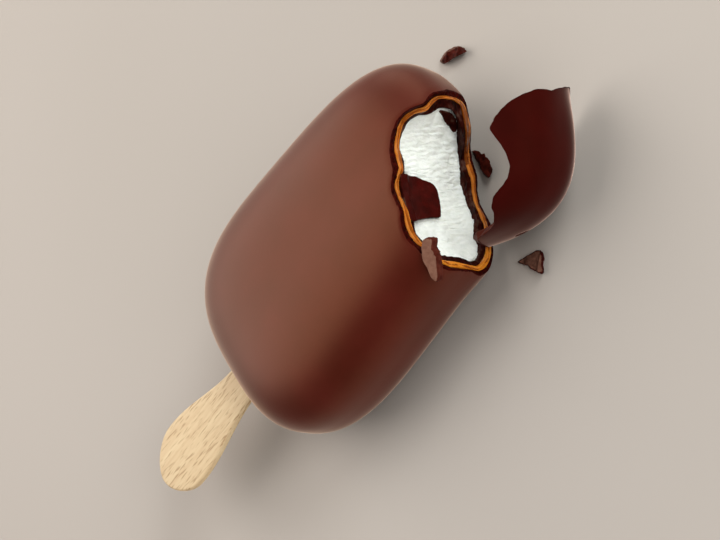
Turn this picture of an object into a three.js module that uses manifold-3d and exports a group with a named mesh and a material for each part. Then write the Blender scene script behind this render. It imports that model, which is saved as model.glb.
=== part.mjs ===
// An ice cream bar on a wooden stick, bitten open at one corner of its tip.
// Millimetres, +Z up. The bar lies on its back with the stick along -X and the tip towards +X,
// its front face up. The break opens its +X -Y corner and shows, from the outside in, the chocolate
// shell, the caramel, the inner chocolate and the ice cream. The broken corner and the chips lie round it.

import * as THREE from 'three';
import { mergeVertices } from 'three/addons/utils/BufferGeometryUtils.js';
import Module from 'manifold-3d';

const wasm = await Module();
wasm.setup();
const { Manifold, Mesh: SolidMesh } = wasm;

// Driving dimensions

const bar = {
  halfLength: 44,
  halfWidth: 30,
  halfThickness: 16,
  taper: -0.107,        // change of the width from the middle to the tip, as a share
  profilePower: 2.8,    // superellipse power of the cross-section, from front to back
  outlinePower: 3.5,    // superellipse power of the outline at its sides
  outlineSwing: 0.55,   // how much squarer the tip is than the stick end
  backFlat: 0.6,        // how far the flat that it lies on cuts into the rounded back
};

const layers = {
  gap: 0.3,
  shell: 1.8,
  caramel: 1.3,
  innerChocolate: 0.9,
};
layers.caramelDepth = layers.shell + layers.gap;
layers.innerDepth = layers.caramelDepth + layers.caramel + layers.gap;
layers.creamDepth = layers.innerDepth + layers.innerChocolate + layers.gap;

const stick = {
  length: 93,
  visible: 38,
  thickness: 2,
  neckHalfWidth: 5,
  paddleHalfWidth: 9.3,
  endLength: 9.8,       // length of the rounded free end
  endPower: 1.78,
  taperStart: 11,       // from the free end
  taperLength: 25.5,
  edge: 0.35,           // rounding of the long edges
  stations: 26,         // points along each side of the paddle
  crowding: 1.8,        // power that crowds them at the round end
};

// The break is a rough disc that faces outwards from the corner. Its own frame has x along the
// edge of the bar towards the tip, y up and z outwards. Edges are pairs of an angle round the
// disc in degrees and a height over it.
const breakDisc = { turn: -32.5, distance: 29, sideways: 8.4, reach: 60 };

const shellEdge = [
  [0, 5.0], [16, 5.1], [32, 3.7], [38, 0.8], [46, -2.0], [55, -3.1], [68, -3.6], [81, -3.3],
  [95, -3.8], [108, -3.8], [122, -2.5], [132, -2.1], [145, 0.0], [163, 1.5], [180, 2.5],
  [195, 3.0], [219, 2.0], [237, 1.2], [243, 0.6], [260, -0.8], [279, -1.1], [293, -0.9],
  [313, -0.8], [323, 0.1], [334, 1.0], [343, 2.5],
];
const caramelEdge = [
  [0, 3.5], [12, 2.8], [22, 2.0], [27, 0.9], [32, -1.1], [37, -2.8], [43, -3.7], [55, -4.1],
  [65, -3.9], [77, -3.1], [85, -2.9], [93, -4.0], [102, -4.1], [115, -3.4], [124, -2.7],
  [140, -2.6], [149, -1.2], [166, 0.2], [180, 1.0], [200, 1.6], [226, 3.1], [233, 1.9],
  [248, 0.2], [266, -0.6], [284, -0.2], [307, -1.0], [319, 0.3], [327, 2.1], [336, 3.3], [350, 4.0],
];
const creamEdge = [
  [0, 1.5], [16, 0.6], [27, -2.6], [39, -4.9], [48, -5.4], [64, -4.9], [81, -4.6], [110, -4.6],
  [138, -3.6], [151, -2.9], [169, -1.4], [183, -0.6], [202, 0.9], [219, 1.0], [229, 0.1],
  [245, -1.5], [266, -2.2], [281, -2.6], [294, -2.4], [311, -1.8], [325, -1.3], [336, 0.2],
];
const creamDish = { centre: -3.6, rimRadius: 15, power: 1.6 };
const innerEdgeDrop = 0.6;   // inner chocolate below the caramel

// Flakes of inner chocolate that stay on the ice cream's face: a tongue joined to the front edge of
// the break and a loose flake near the tip. Outlines lie in the frame of the break.
const flakeThickness = 0.9;
const tongueOutline = [
  [1.0, 14.0], [0.9, 8.2], [1.2, 5.6], [0.8, 1.6], [0.3, 0.1], [-1.0, -0.9], [-2.9, -1.4],
  [-5.0, -1.5], [-7.6, -0.9], [-8.0, 2.6], [-9.3, 6.8], [-10.6, 9.4], [-10.6, 14.0],
];
const looseFlakeOutline = [
  [14.6, 1.9], [14.7, 0.2], [14.4, -1.9], [13.7, -3.0], [12.6, -3.2], [11.2, -2.8], [11.1, -2.0],
  [12.1, -1.4], [12.8, 0.2], [13.7, 1.5],
];

// The corner that broke off. It has turned outwards and leans by its low end on the side of the bar.
const corner = { turn: -42.8, pivot: [32, -12], shift: [10.5, -7.6] };
const cornerEdge = [
  [0, 5.4], [16, 5.6], [29, 4.2], [37, 3.0], [43, 2.5], [55, 2.6], [66, 3.2], [70, 6.4], [76, 8.8],
  [84, 10.2], [96, 11.3], [109, 11.8], [121, 11.3], [132, 10.8], [140, 11.3], [154, 10.9],
  [159, 8.9], [164, 7.1], [177, 6.1], [187, 4.8], [198, 2.3], [212, 0.3], [228, 0.0], [244, 1.0],
  [258, 1.9], [275, 2.2], [295, 2.2], [315, 2.4], [330, 3.0], [345, 4.4],
];

// Chips of the shell: an outline in the chip's own plane, where its underside lies, and its turns.
const chip = { thickness: 1.8, edge: 0.3 };
const floor = bar.backFlat - bar.halfThickness;
const chips = {
  shell_chip_1: {
    outline: [
      [-2.9, -2.0], [-2.4, -0.2], [-0.9, 1.3], [0.7, 2.5], [1.7, 2.3], [3.5, 1.1], [2.7, 0.6],
      [0.9, -0.9], [-1.3, -2.2], [-2.2, -2.4],
    ],
    at: [44.7, 24.1, floor],
    turn: [0, 0, -53],
  },
  shell_chip_2: {
    outline: [
      [-3.3, 2.2], [-2.0, 2.5], [-0.6, 1.9], [0.9, 0.9], [2.4, -0.7], [2.9, -1.9], [2.2, -3.4],
      [0.8, -2.5], [0.1, -1.2], [-1.2, 0.0], [-2.5, 1.2],
    ],
    at: [33.9, -2.7, floor],
    turn: [0, 0, -53],
  },
  shell_chip_3: {
    outline: [
      [-4.7, -0.6], [-1.9, 1.1], [-0.5, 2.2], [0.3, 2.7], [1.5, 2.1], [2.3, 1.4], [2.6, 0.1],
      [2.5, -1.2], [2.3, -2.5], [0.8, -2.0], [-0.2, -1.7], [-1.2, -0.9], [-3.4, -0.9],
    ],
    at: [28.7, -31.1, floor],
    turn: [0, 0, -53],
  },
  shell_chip_4: {
    outline: [
      [4.0, 1.6], [4.4, 0.8], [4.3, -0.7], [2.3, -0.4], [1.2, -1.0], [0.0, -1.5], [-2.0, -1.3],
      [-4.5, -1.0], [-5.3, -0.5], [-4.9, 0.1], [-2.9, 0.6], [-1.3, 1.5], [0.5, 1.9], [2.3, 1.9],
    ],
    at: [20.2, -25.3, 10.2],
    turn: [49, 7, 36],
  },
};

// Facets round the bar and from its front to its back, and round the surfaces of the break
const counts = {
  outerAround: 68,
  outerUpright: 26,
  hiddenAround: 36,
  hiddenUpright: 13,
  edge: 60,
  cream: 36,
};
const edgeRings = [3, 10, 13, 16, 19, 22, 25];
const creamRings = [3, 6, 9, 12, 15];

// Materials

const material = (name, color, roughness) =>
  new THREE.MeshStandardMaterial({ name, color, roughness, metalness: 0 });

const milkChocolate = material('milk_chocolate', '#5b3226', 0.38);
const darkChocolate = material('dark_chocolate', '#2c0c09', 0.42);
const caramel = material('caramel', '#c87818', 0.2);
const iceCream = material('ice_cream', '#eef0ea', 0.75);
const beech = material('beech', '#dcc08f', 0.7);

// Solids

const radians = THREE.MathUtils.degToRad;
const mergeDistance = 1e-4;

function toSolid(geometry) {
  const bare = new THREE.BufferGeometry().setAttribute('position', geometry.getAttribute('position'));
  if (geometry.index) bare.setIndex(geometry.index);
  const merged = mergeVertices(bare, mergeDistance);
  return new Manifold(new SolidMesh({
    numProp: 3,
    vertProperties: new Float32Array(merged.getAttribute('position').array),
    triVerts: new Uint32Array(merged.index.array),
  }));
}

function toGeometry(solid) {
  const { vertProperties, triVerts } = solid.getMesh();
  const geometry = new THREE.BufferGeometry();
  geometry.setAttribute('position', new THREE.BufferAttribute(new Float32Array(vertProperties), 3));
  geometry.setIndex(new THREE.BufferAttribute(new Uint32Array(triVerts), 1));
  geometry.computeVertexNormals();
  return geometry;
}

// Distance from the middle to a superellipse with half axes of 1, in the direction of an angle.
function superellipse(angle, power) {
  return (Math.abs(Math.cos(angle)) ** power + Math.abs(Math.sin(angle)) ** power) ** (-1 / power);
}

// The bar's form, inset evenly by a depth. Each point of a unit sphere moves out to the surface.
function barSolid(depth, around, upright) {
  const geometry = new THREE.SphereGeometry(1, around, upright).rotateX(Math.PI / 2);
  const points = geometry.getAttribute('position');
  const back = depth + bar.backFlat - bar.halfThickness;
  for (let i = 0; i < points.count; i++) {
    const [x, y, z] = [points.getX(i), points.getY(i), points.getZ(i)];
    const turn = Math.atan2(y, x);
    const rise = Math.atan2(z, Math.hypot(x, y));
    const outline = superellipse(turn, bar.outlinePower + bar.outlineSwing * Math.cos(turn));
    const profile = superellipse(rise, bar.profilePower);
    const along = profile * Math.cos(rise) * outline * Math.cos(turn);
    const across = profile * Math.cos(rise) * outline * Math.sin(turn);
    const halfWidth = bar.halfWidth * (1 + bar.taper * along) - depth;
    const height = (bar.halfThickness - depth) * profile * Math.sin(rise);
    points.setXYZ(i, (bar.halfLength - depth) * along, halfWidth * across, Math.max(height, back));
  }
  return toSolid(geometry);
}

// A height read from a list of pairs of an angle and a height, all the way round.
function edgeHeight(pairs, angle) {
  const turn = ((angle % 360) + 360) % 360;
  const next = pairs.findIndex(([a]) => a > turn);
  const [toAngle, toHeight] = next < 0 ? [360, pairs[0][1]] : pairs[next];
  const [fromAngle, fromHeight] = pairs[(next < 0 ? pairs.length : next) - 1];
  return THREE.MathUtils.mapLinear(turn, fromAngle, toAngle, fromHeight, toHeight);
}

const breakTurn = radians(breakDisc.turn);
const breakNormal = new THREE.Vector3(Math.cos(breakTurn), Math.sin(breakTurn), 0);
const breakSide = new THREE.Vector3(-breakNormal.y, breakNormal.x, 0);
const breakFrame = new THREE.Matrix4()
  .makeBasis(breakSide, new THREE.Vector3(0, 0, 1), breakNormal)
  .setPosition(breakNormal.clone().multiplyScalar(breakDisc.distance)
    .addScaledVector(breakSide, breakDisc.sideways));

// Everything outwards of a rough disc, whose height is a function of the radius and the angle.
function outwardsOf(heightAt, radii, count) {
  const rings = [...radii, breakDisc.reach];
  const positions = [0, 0, heightAt(0, 0)];
  const index = [];
  const addRing = (radius, ringHeight) => {
    for (let i = 0; i < count; i++) {
      const angle = (360 * i) / count;
      const turn = radians(angle);
      positions.push(radius * Math.cos(turn), radius * Math.sin(turn), ringHeight(radius, angle));
    }
  };
  rings.forEach((radius) => addRing(radius, heightAt));
  addRing(breakDisc.reach, () => breakDisc.reach);
  const top = positions.length / 3;
  positions.push(0, 0, breakDisc.reach);
  for (let i = 0; i < count; i++) {
    const j = (i + 1) % count;
    index.push(0, 1 + j, 1 + i);
    for (let ring = 0; ring < rings.length; ring++) {
      const inner = 1 + ring * count;
      const outer = inner + count;
      index.push(inner + i, inner + j, outer + j, inner + i, outer + j, outer + i);
    }
    index.push(top, top - count + i, top - count + j);
  }
  const geometry = new THREE.BufferGeometry();
  geometry.setAttribute('position', new THREE.Float32BufferAttribute(positions, 3));
  geometry.setIndex(index);
  return toSolid(geometry.applyMatrix4(breakFrame));
}

const outwardsOfEdge = (pairs, raise = 0) =>
  outwardsOf((radius, angle) => edgeHeight(pairs, angle) + raise, edgeRings, counts.edge);

// The ice cream's face is dished: its edge follows the break and its middle lies a little lower.
const creamHeight = (radius, angle) => THREE.MathUtils.lerp(
  creamDish.centre,
  edgeHeight(creamEdge, angle),
  Math.min(radius / creamDish.rimRadius, 1) ** creamDish.power,
);

// A flat plate with eased edges, lying on its own XY plane.
function plate(outline, thickness, edge) {
  const shape = new THREE.Shape(outline.map(([x, y]) => new THREE.Vector2(x, y)));
  const geometry = new THREE.ExtrudeGeometry(shape, {
    depth: thickness - 2 * edge,
    bevelEnabled: edge > 0,
    bevelThickness: edge,
    bevelSize: edge,
    bevelOffset: -edge,
    bevelSegments: 1,
    steps: 1,
  });
  return geometry.translate(0, 0, edge);
}

// The stick's outline, a paddle with a round end that narrows to a straight neck, grown by a clearance.
function stickOutline(clearance) {
  const freeEnd = -bar.halfLength - stick.visible;
  const innerEnd = freeEnd + stick.length;
  const neck = stick.neckHalfWidth;
  const paddle = stick.taperStart + stick.taperLength;
  const upper = [];
  for (let i = 1; i <= stick.stations; i++) {
    const distance = paddle * (i / stick.stations) ** stick.crowding;
    const toGo = 1 - Math.min(distance / stick.endLength, 1);
    const rounding = (1 - toGo ** stick.endPower) ** (1 / stick.endPower);
    const taper = THREE.MathUtils.smoothstep(distance, stick.taperStart, paddle);
    const halfWidth = rounding * THREE.MathUtils.lerp(stick.paddleHalfWidth, neck, taper);
    upper.push([freeEnd + distance, halfWidth]);
  }
  for (const angle of [90, 60, 30]) {
    upper.push([innerEnd - neck + neck * Math.cos(radians(angle)), neck * Math.sin(radians(angle))]);
  }
  const lower = upper.map(([x, y]) => [x, -y]).reverse();
  const outline = [[freeEnd, 0], ...upper, [innerEnd, 0], ...lower];
  return outline.map(([x, y]) => [x + Math.sign(x) * clearance, y + Math.sign(y) * clearance]);
}

function stickSolid(clearance) {
  const thickness = stick.thickness + 2 * clearance;
  return toSolid(plate(stickOutline(clearance), thickness, stick.edge).translate(0, 0, -thickness / 2));
}

// The pieces

const stickSlot = stickSolid(layers.gap);
const shellBreak = outwardsOfEdge(shellEdge);
const caramelBreak = outwardsOfEdge(caramelEdge);
const innerBreak = outwardsOfEdge(caramelEdge, -innerEdgeDrop);
const outwardsOfCream = (raise) =>
  outwardsOf((radius, angle) => creamHeight(radius, angle) + raise, creamRings, counts.cream);

const hidden = (depth) => barSolid(depth, counts.hiddenAround, counts.hiddenUpright);
const layer = (outer, inner, opening) => outer.subtract(inner).subtract(opening).subtract(stickSlot);

const wholeBar = barSolid(0, counts.outerAround, counts.outerUpright);
const shellHollow = hidden(layers.shell);
const wholeShell = wholeBar.subtract(shellHollow);

const group = new THREE.Group();
group.name = 'ice_cream_bar';

function addPiece(name, geometry, surface, parent = group) {
  const mesh = new THREE.Mesh(geometry, surface);
  mesh.name = name;
  parent.add(mesh);
  return mesh;
}

addPiece('chocolate_shell', toGeometry(layer(wholeBar, shellHollow, shellBreak)), milkChocolate);

addPiece('caramel_layer', toGeometry(layer(
  hidden(layers.caramelDepth),
  hidden(layers.caramelDepth + layers.caramel),
  caramelBreak,
)), caramel);

// A flake of an outline that lies on the ice cream's face and follows it.
function flakeSolid(outline) {
  const column = toSolid(plate(outline, 2 * layers.creamDepth, 0)
    .translate(0, 0, -layers.creamDepth).applyMatrix4(breakFrame));
  return column
    .intersect(outwardsOfCream(layers.gap))
    .subtract(outwardsOfCream(layers.gap + flakeThickness));
}

const innerLayer = layer(
  hidden(layers.innerDepth),
  hidden(layers.innerDepth + layers.innerChocolate),
  innerBreak,
);
const tongueSolid = flakeSolid(tongueOutline).intersect(hidden(layers.innerDepth));
addPiece('inner_chocolate', toGeometry(innerLayer.add(tongueSolid)), darkChocolate);

addPiece('ice_cream', toGeometry(hidden(layers.creamDepth).subtract(outwardsOfCream(0)).subtract(stickSlot)),
  iceCream);
addPiece('flake_on_ice_cream', toGeometry(flakeSolid(looseFlakeOutline)), darkChocolate);

addPiece('wooden_stick', toGeometry(stickSolid(0)), beech);

// The corner turns about an upright line through its pivot, then moves outwards and down to the floor.
const cornerPlace = new THREE.Group();
cornerPlace.position.set(corner.pivot[0] + corner.shift[0], corner.pivot[1] + corner.shift[1], 0);
cornerPlace.rotation.z = radians(corner.turn);
group.add(cornerPlace);
const cornerSolid = wholeShell.intersect(outwardsOfEdge(cornerEdge));
const cornerMesh = addPiece('shell_corner', toGeometry(cornerSolid), milkChocolate, cornerPlace);
cornerMesh.position.set(-corner.pivot[0], -corner.pivot[1], floor - cornerSolid.boundingBox().min[2]);

for (const [name, { outline, at, turn }] of Object.entries(chips)) {
  const mesh = addPiece(name, plate(outline, chip.thickness, chip.edge), milkChocolate);
  mesh.rotation.set(...turn.map(radians));
  mesh.position.set(...at);
}

// The origin is the middle of the bounding box's bottom.
group.updateMatrixWorld(true);
const box = new THREE.Box3().setFromObject(group, true);
const middle = box.getCenter(new THREE.Vector3());
group.position.set(-middle.x, -middle.y, -box.min.z);

export default group;
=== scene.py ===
import math
import bmesh
import bpy
from mathutils import Euler, Matrix, Vector, noise


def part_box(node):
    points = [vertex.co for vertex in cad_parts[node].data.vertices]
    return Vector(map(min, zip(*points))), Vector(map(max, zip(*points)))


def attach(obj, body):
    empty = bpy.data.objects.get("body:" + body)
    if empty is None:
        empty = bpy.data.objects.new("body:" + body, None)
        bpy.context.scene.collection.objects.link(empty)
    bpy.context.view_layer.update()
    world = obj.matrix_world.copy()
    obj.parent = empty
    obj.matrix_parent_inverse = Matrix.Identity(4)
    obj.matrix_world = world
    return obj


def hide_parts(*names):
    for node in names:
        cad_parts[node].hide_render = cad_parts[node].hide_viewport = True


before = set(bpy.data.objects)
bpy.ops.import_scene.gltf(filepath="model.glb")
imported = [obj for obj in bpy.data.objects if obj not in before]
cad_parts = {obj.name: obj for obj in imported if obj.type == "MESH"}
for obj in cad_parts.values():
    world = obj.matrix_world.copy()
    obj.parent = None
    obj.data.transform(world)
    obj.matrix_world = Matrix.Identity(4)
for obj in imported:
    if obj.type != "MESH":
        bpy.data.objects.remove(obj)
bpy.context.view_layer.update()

mm = 0.001
tiny = 1e-9                  # as good as zero
mergeDistance = 1e-4         # points this near are one

# Everything is modelled in millimetres from the middle of the bar, with the stick along -X,
# the tip towards +X and the front face up.

bar = {
    "halfLength": 44,
    "halfWidth": 30,
    "halfThickness": 16,
    "taper": -0.107,         # change of width towards the tip
    "profilePower": 2.8,     # cross-section, front to back
    "outlinePower": 3.5,
    "outlineSwing": 0.55,    # squarer at the tip, rounder at the stick
    "backFlat": 0.6,         # flat that it lies on
    "rounds": 9,             # steps that bring a point onto the form
}

stick = {
    "length": 93,
    "visible": 38,
    "thickness": 2,
    "neckHalfWidth": 5,
    "paddleHalfWidth": 9.3,
    "endLength": 9.8,
    "endPower": 1.78,
    "taperStart": 11,
    "taperLength": 25.5,
    "edge": 0.55,
    "edgeSegments": 4,
    "stations": 90,
    "crowding": 1.8,         # gathers the stations at the free end
    "innerStep": 10,         # degrees between points round the hidden end
}

stickLow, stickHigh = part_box("wooden_stick")
barCentre = (stickLow + stickHigh) / 2
barCentre.x = stickLow.x + (bar["halfLength"] + stick["visible"]) * mm
toFrame = Matrix.Translation(barCentre) @ Matrix.Scale(mm, 4)
floorLevel = bar["backFlat"] - bar["halfThickness"]


def formSize(point, depth):  # 1 on the bar's surface inset by a depth, less inside
    along = point.x / (bar["halfLength"] - depth)
    across = point.y / (bar["halfWidth"] * (1 + bar["taper"] * along) - depth)
    up = abs(point.z) / (bar["halfThickness"] - depth)
    reach = math.hypot(along, across)
    power = bar["outlinePower"] + bar["outlineSwing"] * along / max(reach, tiny)
    outline = (abs(along) ** power + abs(across) ** power) ** (1 / power)
    return (outline ** bar["profilePower"] + up ** bar["profilePower"]) ** (1 / bar["profilePower"])


def onBack(point, depth):  # the flat under the bar
    point.z = max(point.z, max(depth, 0) + floorLevel)
    return point


def surfacePoint(direction, depth):
    point = direction * bar["halfWidth"]
    for _ in range(bar["rounds"]):
        point = point / formSize(point, depth)
    return onBack(point, depth)


# The break is a rough disc that faces out of the corner. Angles go round it from the tip's side.
breakDisc = {
    "turn": -32.5,
    "distance": 29,
    "sideways": 8.4,
    "radius": 16,            # of its rim, roughly
    "farthest": 60,          # the rim is looked for as far out as this
    "halvings": 26,
}
breakTurn = math.radians(breakDisc["turn"])
outwards = Vector((math.cos(breakTurn), math.sin(breakTurn), 0))
sideways = Vector((-outwards.y, outwards.x, 0))
upright = Vector((0, 0, 1))
breakOrigin = outwards * breakDisc["distance"] + sideways * breakDisc["sideways"]


def evenly(*values):  # pairs of an angle and a value, evenly round the circle
    return [(360 * i / len(values), value) for i, value in enumerate(values)]


# heights of the broken edges over the disc, every 6 degrees
shellEdge = evenly(
    4.7, 4.95, 5.02, 4.6, 4.02, 3.36, 0.69, -1.37, -2.38, -2.95, -3.19, -3.4,
    -3.37, -3.11, -2.88, -2.99, -3.28, -3.62, -3.23, -2.68, -1.99, -2.14, -2.25, -1.81,
    -0.74, 0.35, 1.08, 1.74, 2.21, 2.75, 2.96, 3.05, 2.78, 2.55, 2.8, 3,
    2.9, 2.6, 2.2, 1.9, 1.55, 0.65, -0.15, -0.8, -1.3, -1.45, -1.35, -0.93,
    -0.79, -0.92, -1.18, -1.17, -0.86, -0.21, 0.92, 1.43, 2.18, 3.17, 4.13, 4.59,
)
caramelEdge = evenly(
    4.38, 4.24, 3.35, 2.69, 1.75, -0.28, -2.41, -3.31, -3.64, -3.84, -3.73, -3.38,
    -3.14, -2.88, -2.85, -3.62, -4.08, -4.03, -3.65, -3.13, -2.79, -2.48, -2.34, -2.31,
    -1.85, -0.97, -0.27, 0.18, 0.59, 0.81, 1.14, 1.61, 2, 2.25, 2.5, 2.85,
    2.9, 2.6, 2.4, 1.79, 1.45, 0.78, 0.03, -0.37, -0.55, -0.54, -0.41, -0.26,
    -0.24, -0.36, -0.68, -0.83, -0.58, 0.2, 1.42, 2.18, 2.97, 3.31, 3.75, 4.16,
)
creamEdge = evenly(
    3.09, 2, 1.43, 0.73, -1.24, -3, -3.99, -4.57, -4.85, -4.62, -4.16, -3.91,
    -3.84, -3.74, -3.86, -4.03, -4.36, -4.34, -4.23, -3.65, -3.61, -3.25, -3.01, -2.77,
    -2.89, -2.33, -1.71, -1.18, -0.81, -0.46, 0.05, 0.61, 0.92, 1.05, 1.12, 1.32,
    0.39, 0.46, 0.4, -0.1, -0.64, -1.23, -1.61, -1.87, -2.14, -2.45, -2.55, -2.72,
    -2.57, -2.36, -2.18, -2.08, -1.89, -1.67, -1.27, -0.68, 0.28, 1.22, 2, 2.71,
)
# the corner that broke off has an edge of its own, by angle
cornerEdge = [
    (0, 5.3), (9, 5.8), (13, 5.7), (18, 5.3), (22, 4.9), (26, 4.6), (31, 4.0), (35, 3.6), (39, 3.2),
    (43, 2.9), (54, 2.7), (60, 2.9), (65, 3.3), (67, 4.7), (70, 6.9), (73, 8.2), (77, 9.4), (82, 10.4),
    (87, 10.9), (97, 11.4), (106, 11.4), (114, 11.1), (123, 10.7), (130, 10.8), (135, 10.9),
    (141, 11.3), (149, 11.3), (156, 10.9), (163, 9.6), (167, 8.1), (170, 7.2), (173, 6.7), (179, 6.2),
    (190, 5.2), (197, 4.0), (204, 2.2), (212, 0.9), (228, 0.3), (244, 1.0), (258, 1.9), (275, 2.2),
    (295, 2.2), (315, 2.2), (330, 2.3), (341, 3.0), (348, 4.2),
]

# depths of the layers' borders under the surface: deep in the bar, then every 6 degrees at the break
borders = {"coating": 2.05, "caramel": 3.3, "inner": 4.72}
coatingBorder = evenly(
    1.12, 1.32, 1.78, 2.1, 2.5, 2.24, 2.34, 2.23, 2.15, 2.13, 1.83, 1.53,
    1.64, 1.84, 1.86, 2.26, 2.2, 2.06, 2, 1.81, 1.99, 1.88, 1.74, 1.83,
    2.06, 2.32, 2.39, 2.45, 2.27, 2.15, 1.97, 1.67, 1.22, 0.45, 0.05, 0.05,
    0.5, 1.25, 1.5, 1.5, 2, 2.4, 2.4, 2.2, 2.1, 2.05, 2.01, 1.87,
    1.76, 1.86, 1.87, 1.78, 1.75, 1.59, 1.66, 1.15, 1.45, 1.05, 1.15, 1.25,
)
caramelBorder = evenly(
    1.55, 1.72, 2.2, 2.76, 3.17, 2.91, 3.11, 3.24, 3.25, 3.32, 3.39, 3.48,
    3.66, 3.42, 3.35, 3.29, 3.28, 3.07, 2.91, 2.68, 2.98, 3.31, 3.37, 3.42,
    3.31, 3.02, 2.79, 2.77, 2.97, 3.19, 3.01, 2.54, 1.9, 1.4, 1.35, 1.5,
    2.2, 2.4, 3, 3.5, 4, 3.83, 3.32, 3.27, 3.17, 3.23, 3.28, 3.23,
    3.26, 3.51, 3.36, 3.4, 3.47, 3.69, 4.19, 3.88, 3.69, 2.84, 1.9, 1.72,
)
innerBorder = evenly(
    3.27, 4.06, 4.72, 4.89, 4.72, 4.7, 4.77, 4.74, 4.72, 4.67, 4.75, 4.87,
    5.01, 4.9, 5.02, 5.15, 5.51, 5.4, 5.32, 4.71, 4.97, 4.88, 4.93, 4.78,
    4.78, 4.76, 4.92, 4.91, 4.84, 4.85, 4.54, 4.06, 3.37, 2.72, 2.46, 2.65,
    3.04, 4.15, 4.6, 4.63, 4.78, 4.64, 4.66, 4.71, 4.74, 4.69, 4.76, 4.48,
    4.59, 4.79, 4.83, 4.74, 4.72, 4.68, 4.76, 4.73, 4.88, 4.46, 4.03, 3.6,
)
settle = 0.14                # share of the way to the stick over which they even out

# how far the coating flares out at the break, by angle
flare = [
    (0, 0), (180, 0), (190, 0.2), (198, 0.6), (206, 0.95), (213, 0.7), (222, 0.2), (232, 0), (300, 0),
]
flareReach = 0.17            # share of the way to the stick


def edgeHeight(pairs, angle):  # smooth curve through the pairs
    angle = angle % 360
    count = len(pairs)
    after = next((i for i, pair in enumerate(pairs) if pair[0] > angle), count)
    knots = []
    for step in (-2, -1, 0, 1):
        turns, index = divmod(after + step, count)
        knots.append((pairs[index][0] + 360 * turns, pairs[index][1]))
    (a0, h0), (a1, h1), (a2, h2), (a3, h3) = knots
    span = a2 - a1
    t = (angle - a1) / span
    startSlope = (h2 - h0) / (a2 - a0) * span
    endSlope = (h3 - h1) / (a3 - a1) * span
    return ((2 * t ** 3 - 3 * t ** 2 + 1) * h1 + (t ** 3 - 2 * t ** 2 + t) * startSlope
            + (3 * t ** 2 - 2 * t ** 3) * h2 + (t ** 3 - t ** 2) * endSlope)


bordersAt = {}               # the three borders at each angle, once worked out


def thinned(depth, angle, share=0):  # the layers are uneven near the break
    if angle not in bordersAt:
        bordersAt[angle] = [edgeHeight(pairs, angle)
                            for pairs in (coatingBorder, caramelBorder, innerBorder)]
    even, broken = [0, *borders.values()], [0, *bordersAt[angle]]
    layer = 0 if depth <= even[1] else 1 if depth <= even[2] else 2
    place = (depth - even[layer]) / (even[layer + 1] - even[layer])
    fade = max(0, 1 - share / settle)
    nearBreak = broken[layer] + place * (broken[layer + 1] - broken[layer])
    return depth + (nearBreak - depth) * fade * fade


def discPoint(side, up, height):
    return breakOrigin + sideways * side + upright * up + outwards * height


def rimSpot(angle, height=0):  # a point near the rim, where its roughness is read
    turn = math.radians(angle)
    return discPoint(breakDisc["radius"] * math.cos(turn), breakDisc["radius"] * math.sin(turn), height)


def wallPoint(angle, height, depth):  # where the disc at a height meets the form, and its radius
    turn = math.radians(angle)
    near, far = 0, breakDisc["farthest"]
    for _ in range(breakDisc["halvings"]):
        radius = (near + far) / 2
        point = discPoint(radius * math.cos(turn), radius * math.sin(turn), height)
        if formSize(point, depth) < 1:
            near = radius
        else:
            far = radius
    return onBack(point, depth), radius


seedSteps = (7.3, 3.1, 5.7)  # how far one seed's pattern lies from the next


def roughness(point, size, seed):  # even noise from -1 to 1, features about size across
    return noise.noise(point / size + Vector([seed * step for step in seedSteps]))


# Mesh tools. A loop's points know their angle round the break.

def angleLayer(bm):
    return bm.verts.layers.float.get("angle") or bm.verts.layers.float.new("angle")


def circleLoop(bm, count):
    angleOf = angleLayer(bm)
    made = bmesh.ops.create_circle(bm, segments=count, radius=1)
    for v in made["verts"]:
        v[angleOf] = math.degrees(math.atan2(v.co.y, v.co.x)) % 360
    return [e for e in bm.edges if e.is_wire]


def drawOut(bm, edges, place, material=0):  # extrudes a loop and puts its points in place
    angleOf = angleLayer(bm)
    made = bmesh.ops.extrude_edge_only(bm, edges=edges)["geom"]
    verts = [g for g in made if isinstance(g, bmesh.types.BMVert)]
    for v in verts:
        v.co = place(v[angleOf])
    for f in made:
        if isinstance(f, bmesh.types.BMFace):
            f.material_index = material
    drawn = set(verts)
    return [g for g in made if isinstance(g, bmesh.types.BMEdge)
            and g.verts[0] in drawn and g.verts[1] in drawn]


def facesAt(edges):  # the faces that end at a loop
    return {f for e in edges for f in e.link_faces}


def patch(bm, rings, place, material=0):  # a grid bent into a disc, with no pole in it
    angleOf = angleLayer(bm)
    verts = bmesh.ops.create_grid(bm, x_segments=2 * rings, y_segments=2 * rings, size=1)["verts"]
    for v in verts:
        a, b = v.co.x, v.co.y
        share = max(abs(a), abs(b))
        if abs(a) >= abs(b):
            turn = 45 * b / a if a else 0
            turn = turn if a >= 0 else turn + 180
        else:
            turn = 90 - 45 * a / b
            turn = turn if b >= 0 else turn + 180
        v[angleOf] = turn % 360
        v.co = place(turn % 360, round(share * rings) / rings)
        for f in v.link_faces:
            f.material_index = material
    placed = set(verts)
    return [e for e in bm.edges if e.is_boundary and e.verts[0] in placed]


def finishPiece(bm, name, materials, slotName, *nodes):
    bmesh.ops.remove_doubles(bm, verts=bm.verts[:], dist=mergeDistance)
    bmesh.ops.recalc_face_normals(bm, faces=bm.faces[:])
    bmesh.ops.transform(bm, matrix=toFrame, verts=bm.verts[:])
    for f in bm.faces:
        f.smooth = True
    mesh = bpy.data.meshes.new(name)
    bm.to_mesh(mesh)
    bm.free()
    for material in materials:
        mesh.materials.append(material)
    piece = bpy.data.objects.new(name, mesh)
    bpy.context.scene.collection.objects.link(piece)
    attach(piece, "root")
    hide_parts(*nodes)
    print(name, "made,", len(mesh.polygons), "faces")


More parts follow.
